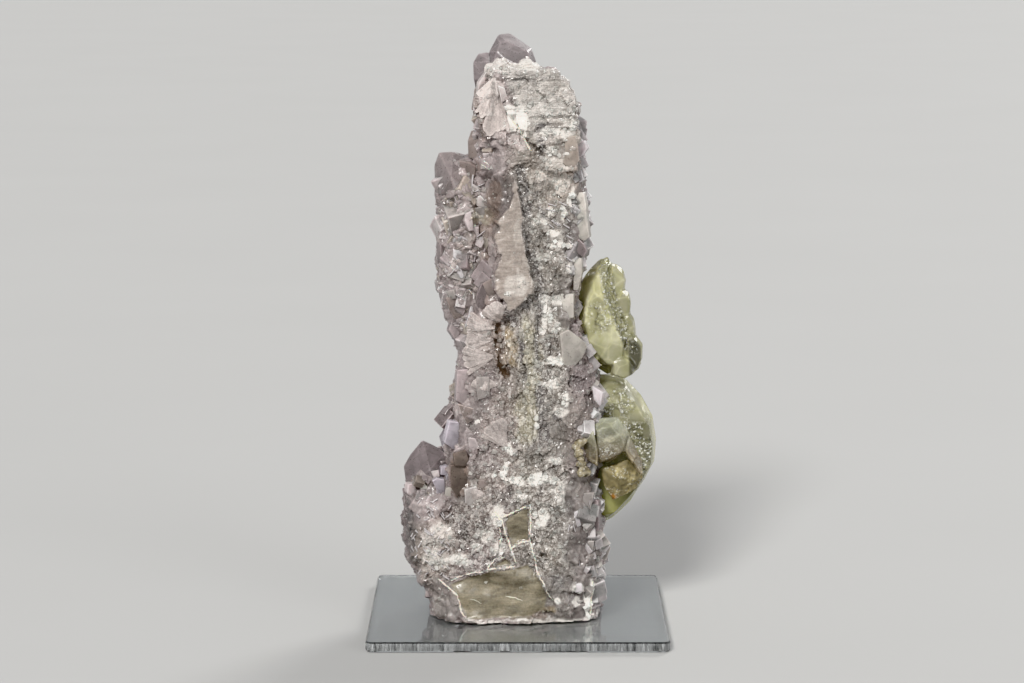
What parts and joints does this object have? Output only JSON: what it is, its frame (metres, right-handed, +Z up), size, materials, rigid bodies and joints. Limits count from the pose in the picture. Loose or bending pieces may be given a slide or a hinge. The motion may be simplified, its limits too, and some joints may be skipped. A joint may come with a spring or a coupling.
{
  "type": "calcite and fluorite mineral specimen on a display plate",
  "caption": "Tall fluorite-crusted rock column with pale yellow-green calcite crystals on one side, standing on a thin clear display plate.",
  "frame": {"origin": "middle of the display plate's underside", "axes": "+Z up along the column, -Y out of the broken rock face, +X to the side that carries the calcite"},
  "size_m": [0.102, 0.096, 0.2028],
  "materials": {
    "fluorite": "pale lilac-grey granular crystal crust, sparkling on broken faces",
    "calcite": "translucent yellow-green crystal with etched bright faces",
    "smoky_calcite": "clear grey-green crystal with smooth faces",
    "ochre_calcite": "cloudy crystal dusted with ochre grains",
    "honey_calcite": "waxy translucent honey beads",
    "acrylic": "clear polished sheet with bevelled edges"
  },
  "bodies": {
    "root": {"fluorite_column": "fluorite", "upper_calcite": "calcite", "lower_calcite": "calcite", "small_calcite": "smoky_calcite", "ochre_calcite": "ochre_calcite", "honey_beads": "honey_calcite", "display_plate": "acrylic"}
  },
  "joints": []
}
